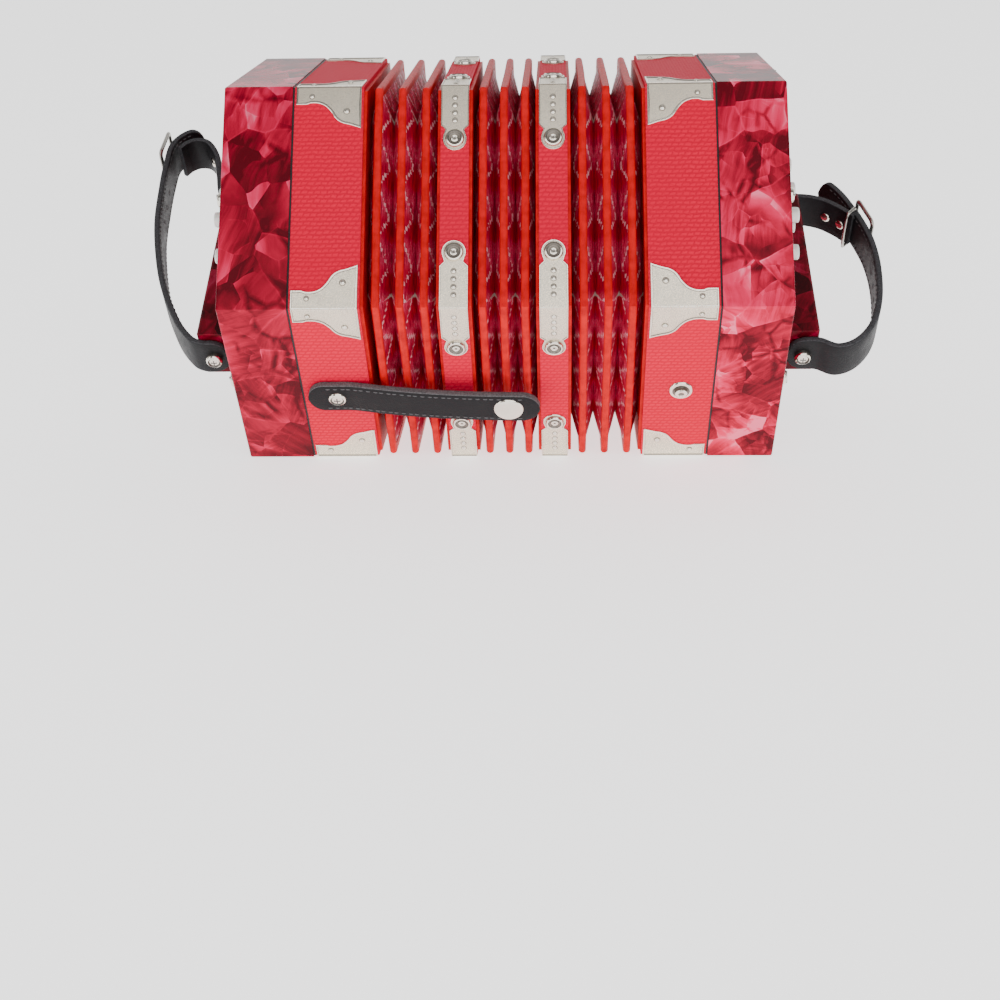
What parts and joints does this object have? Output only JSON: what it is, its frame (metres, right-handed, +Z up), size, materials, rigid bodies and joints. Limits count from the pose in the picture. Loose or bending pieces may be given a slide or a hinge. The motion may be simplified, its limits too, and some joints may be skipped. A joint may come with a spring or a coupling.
{
  "type": "concertina",
  "caption": "Hexagonal squeezebox with fretted pearl-covered ends, button keys, metal-cornered bellows, buckled hand straps and a snap transport strap.",
  "frame": {"origin": "centre of the footprint, on the plane the lower flats of the two end boxes rest on", "axes": "+X along the bellows towards the right-hand end, +Z up, -Y towards the front crease"},
  "size_m": [0.331, 0.19, 0.1667],
  "materials": {
    "pearl": "gloss, pearl flake",
    "pearl_plate": "gloss, pearl flake",
    "pearl_rail": "gloss, pearl flake",
    "strap_leather": "satin, stitched",
    "buckle_metal": "satin nickel",
    "bolt_metal": "polished",
    "plywood": "matte",
    "pivot_metal": "satin",
    "spring_wire": "satin",
    "pan_wood": "matte",
    "reed_brass": "satin",
    "frame_vinyl": "embossed leathercloth",
    "corner_nickel": "satin nickel",
    "gasket_felt": "matte",
    "bellows_paper": "patterned paper over card",
    "band_leather": "satin",
    "snap_metal": "polished",
    "key_button": "gloss"
  },
  "bodies": {
    "left_end": {"end_box_left": "pearl", "end_plate_left": "pearl_plate", "handrail_left": "pearl_rail", "hand_strap_left": "strap_leather", "strap_buckle_left": "buckle_metal", "end_fasteners_left": "bolt_metal", "action_board_left": "plywood", "key_pivots_left": "pivot_metal", "key_springs_left": "spring_wire", "reed_pan_left": "pan_wood", "reed_plates_left": "reed_brass", "bellows_frame_left": "frame_vinyl", "frame_corners_left": "corner_nickel", "seal_gasket_left": "gasket_felt", "bellows_left": "bellows_paper", "strap_screw": "snap_metal"},
    "right_end": {"end_box_right": "pearl", "end_plate_right": "pearl_plate", "handrail_right": "pearl_rail", "hand_strap_right": "strap_leather", "strap_buckle_right": "buckle_metal", "end_fasteners_right": "bolt_metal", "action_board_right": "plywood", "key_pivots_right": "pivot_metal", "key_springs_right": "spring_wire", "reed_pan_right": "pan_wood", "reed_plates_right": "reed_brass", "bellows_frame_right": "frame_vinyl", "frame_corners_right": "corner_nickel", "seal_gasket_right": "gasket_felt", "snap_stud": "snap_metal"},
    "mid_1": {"mid_frame_1": "frame_vinyl", "mid_bands_1": "corner_nickel", "bellows_middle": "bellows_paper"},
    "mid_2": {"mid_frame_2": "frame_vinyl", "mid_bands_2": "corner_nickel", "bellows_right": "bellows_paper"},
    "transport_strap": {"bellows_strap": "band_leather", "snap_cap": "snap_metal"},
    "key_left_a1": {"key_left_a1": "key_button"},
    "key_left_a2": {"key_left_a2": "key_button"},
    "key_left_a3": {"key_left_a3": "key_button"},
    "key_left_a4": {"key_left_a4": "key_button"},
    "key_left_a5": {"key_left_a5": "key_button"},
    "key_left_b1": {"key_left_b1": "key_button"},
    "key_left_b2": {"key_left_b2": "key_button"},
    "key_left_b3": {"key_left_b3": "key_button"},
    "key_left_b4": {"key_left_b4": "key_button"},
    "key_left_b5": {"key_left_b5": "key_button"},
    "key_right_a1": {"key_right_a1": "key_button"},
    "key_right_a2": {"key_right_a2": "key_button"},
    "key_right_a3": {"key_right_a3": "key_button"},
    "key_right_a4": {"key_right_a4": "key_button"},
    "key_right_a5": {"key_right_a5": "key_button"},
    "key_right_b1": {"key_right_b1": "key_button"},
    "key_right_b2": {"key_right_b2": "key_button"},
    "key_right_b3": {"key_right_b3": "key_button"},
    "key_right_b4": {"key_right_b4": "key_button"},
    "key_right_b5": {"key_right_b5": "key_button"},
    "air_key": {"air_key": "key_button"}
  },
  "joints": [
    {"name": "bellows_1_fold", "type": "slide", "parent": "left_end", "child": "mid_1", "axis": [1, 0, 0], "range_m": [-0.025, 0.026], "deforming": ["bellows_left"]},
    {"name": "bellows_2_fold", "type": "slide", "parent": "mid_1", "child": "mid_2", "axis": [1, 0, 0], "range_m": [-0.0225, 0.0234], "deforming": ["bellows_middle"]},
    {"name": "bellows_3_fold", "type": "slide", "parent": "mid_2", "child": "right_end", "axis": [1, 0, 0], "range_m": [-0.025, 0.026], "deforming": ["bellows_right"]},
    {"name": "transport_strap_swing", "type": "hinge", "parent": "left_end", "child": "transport_strap", "pos_m": [-0.072, -0.0683, 0.03724], "axis": [0, -0.866, -0.5], "range_deg": [-18, 90]},
    {"name": "key_left_a1_press", "type": "hinge", "parent": "left_end", "child": "key_left_a1", "pos_m": [-0.108, 0.005, 0.07361], "axis": [0, 0.866, 0.5], "range_deg": [0, 3.13], "stiffness_Nm_per_rad": 0.2, "springref_deg": -8.59},
    {"name": "key_left_a2_press", "type": "hinge", "parent": "left_end", "child": "key_left_a2", "pos_m": [-0.108, 0.005, 0.07361], "axis": [0, 0.866, 0.5], "range_deg": [0, 3.13], "stiffness_Nm_per_rad": 0.2, "springref_deg": -8.59},
    {"name": "key_left_a3_press", "type": "hinge", "parent": "left_end", "child": "key_left_a3", "pos_m": [-0.108, 0.005, 0.07361], "axis": [0, 0.866, 0.5], "range_deg": [0, 3.13], "stiffness_Nm_per_rad": 0.2, "springref_deg": -8.59},
    {"name": "key_left_a4_press", "type": "hinge", "parent": "left_end", "child": "key_left_a4", "pos_m": [-0.108, 0.005, 0.07361], "axis": [0, 0.866, 0.5], "range_deg": [0, 3.13], "stiffness_Nm_per_rad": 0.2, "springref_deg": -8.59},
    {"name": "key_left_a5_press", "type": "hinge", "parent": "left_end", "child": "key_left_a5", "pos_m": [-0.108, 0.005, 0.07361], "axis": [0, 0.866, 0.5], "range_deg": [0, 3.13], "stiffness_Nm_per_rad": 0.2, "springref_deg": -8.59},
    {"name": "key_left_b1_press", "type": "hinge", "parent": "left_end", "child": "key_left_b1", "pos_m": [-0.108, 0.005, 0.07361], "axis": [0, 0.866, 0.5], "range_deg": [0, 2.61], "stiffness_Nm_per_rad": 0.2, "springref_deg": -8.59},
    {"name": "key_left_b2_press", "type": "hinge", "parent": "left_end", "child": "key_left_b2", "pos_m": [-0.108, 0.005, 0.07361], "axis": [0, 0.866, 0.5], "range_deg": [0, 2.61], "stiffness_Nm_per_rad": 0.2, "springref_deg": -8.59},
    {"name": "key_left_b3_press", "type": "hinge", "parent": "left_end", "child": "key_left_b3", "pos_m": [-0.108, 0.005, 0.07361], "axis": [0, 0.866, 0.5], "range_deg": [0, 2.61], "stiffness_Nm_per_rad": 0.2, "springref_deg": -8.59},
    {"name": "key_left_b4_press", "type": "hinge", "parent": "left_end", "child": "key_left_b4", "pos_m": [-0.108, 0.005, 0.07361], "axis": [0, 0.866, 0.5], "range_deg": [0, 2.61], "stiffness_Nm_per_rad": 0.2, "springref_deg": -8.59},
    {"name": "key_left_b5_press", "type": "hinge", "parent": "left_end", "child": "key_left_b5", "pos_m": [-0.108, 0.005, 0.07361], "axis": [0, 0.866, 0.5], "range_deg": [0, 2.61], "stiffness_Nm_per_rad": 0.2, "springref_deg": -8.59},
    {"name": "key_right_a1_press", "type": "hinge", "parent": "right_end", "child": "key_right_a1", "pos_m": [0.108, 0.005, 0.07361], "axis": [0, -0.866, -0.5], "range_deg": [0, 3.13], "stiffness_Nm_per_rad": 0.2, "springref_deg": -8.59},
    {"name": "key_right_a2_press", "type": "hinge", "parent": "right_end", "child": "key_right_a2", "pos_m": [0.108, 0.005, 0.07361], "axis": [0, -0.866, -0.5], "range_deg": [0, 3.13], "stiffness_Nm_per_rad": 0.2, "springref_deg": -8.59},
    {"name": "key_right_a3_press", "type": "hinge", "parent": "right_end", "child": "key_right_a3", "pos_m": [0.108, 0.005, 0.07361], "axis": [0, -0.866, -0.5], "range_deg": [0, 3.13], "stiffness_Nm_per_rad": 0.2, "springref_deg": -8.59},
    {"name": "key_right_a4_press", "type": "hinge", "parent": "right_end", "child": "key_right_a4", "pos_m": [0.108, 0.005, 0.07361], "axis": [0, -0.866, -0.5], "range_deg": [0, 3.13], "stiffness_Nm_per_rad": 0.2, "springref_deg": -8.59},
    {"name": "key_right_a5_press", "type": "hinge", "parent": "right_end", "child": "key_right_a5", "pos_m": [0.108, 0.005, 0.07361], "axis": [0, -0.866, -0.5], "range_deg": [0, 3.13], "stiffness_Nm_per_rad": 0.2, "springref_deg": -8.59},
    {"name": "key_right_b1_press", "type": "hinge", "parent": "right_end", "child": "key_right_b1", "pos_m": [0.108, 0.005, 0.07361], "axis": [0, -0.866, -0.5], "range_deg": [0, 2.61], "stiffness_Nm_per_rad": 0.2, "springref_deg": -8.59},
    {"name": "key_right_b2_press", "type": "hinge", "parent": "right_end", "child": "key_right_b2", "pos_m": [0.108, 0.005, 0.07361], "axis": [0, -0.866, -0.5], "range_deg": [0, 2.61], "stiffness_Nm_per_rad": 0.2, "springref_deg": -8.59},
    {"name": "key_right_b3_press", "type": "hinge", "parent": "right_end", "child": "key_right_b3", "pos_m": [0.108, 0.005, 0.07361], "axis": [0, -0.866, -0.5], "range_deg": [0, 2.61], "stiffness_Nm_per_rad": 0.2, "springref_deg": -8.59},
    {"name": "key_right_b4_press", "type": "hinge", "parent": "right_end", "child": "key_right_b4", "pos_m": [0.108, 0.005, 0.07361], "axis": [0, -0.866, -0.5], "range_deg": [0, 2.61], "stiffness_Nm_per_rad": 0.2, "springref_deg": -8.59},
    {"name": "key_right_b5_press", "type": "hinge", "parent": "right_end", "child": "key_right_b5", "pos_m": [0.108, 0.005, 0.07361], "axis": [0, -0.866, -0.5], "range_deg": [0, 2.61], "stiffness_Nm_per_rad": 0.2, "springref_deg": -8.59},
    {"name": "air_key_press", "type": "hinge", "parent": "right_end", "child": "air_key", "pos_m": [0.108, 0.005, 0.07361], "axis": [0, -0.866, -0.5], "range_deg": [0, 4.3], "stiffness_Nm_per_rad": 0.2, "springref_deg": -8.59}
  ],
  "couplings": [
    {"joint": "bellows_2_fold", "follows": "bellows_1_fold", "ratio": 0.9},
    {"joint": "bellows_3_fold", "follows": "bellows_1_fold", "ratio": 1}
  ]
}
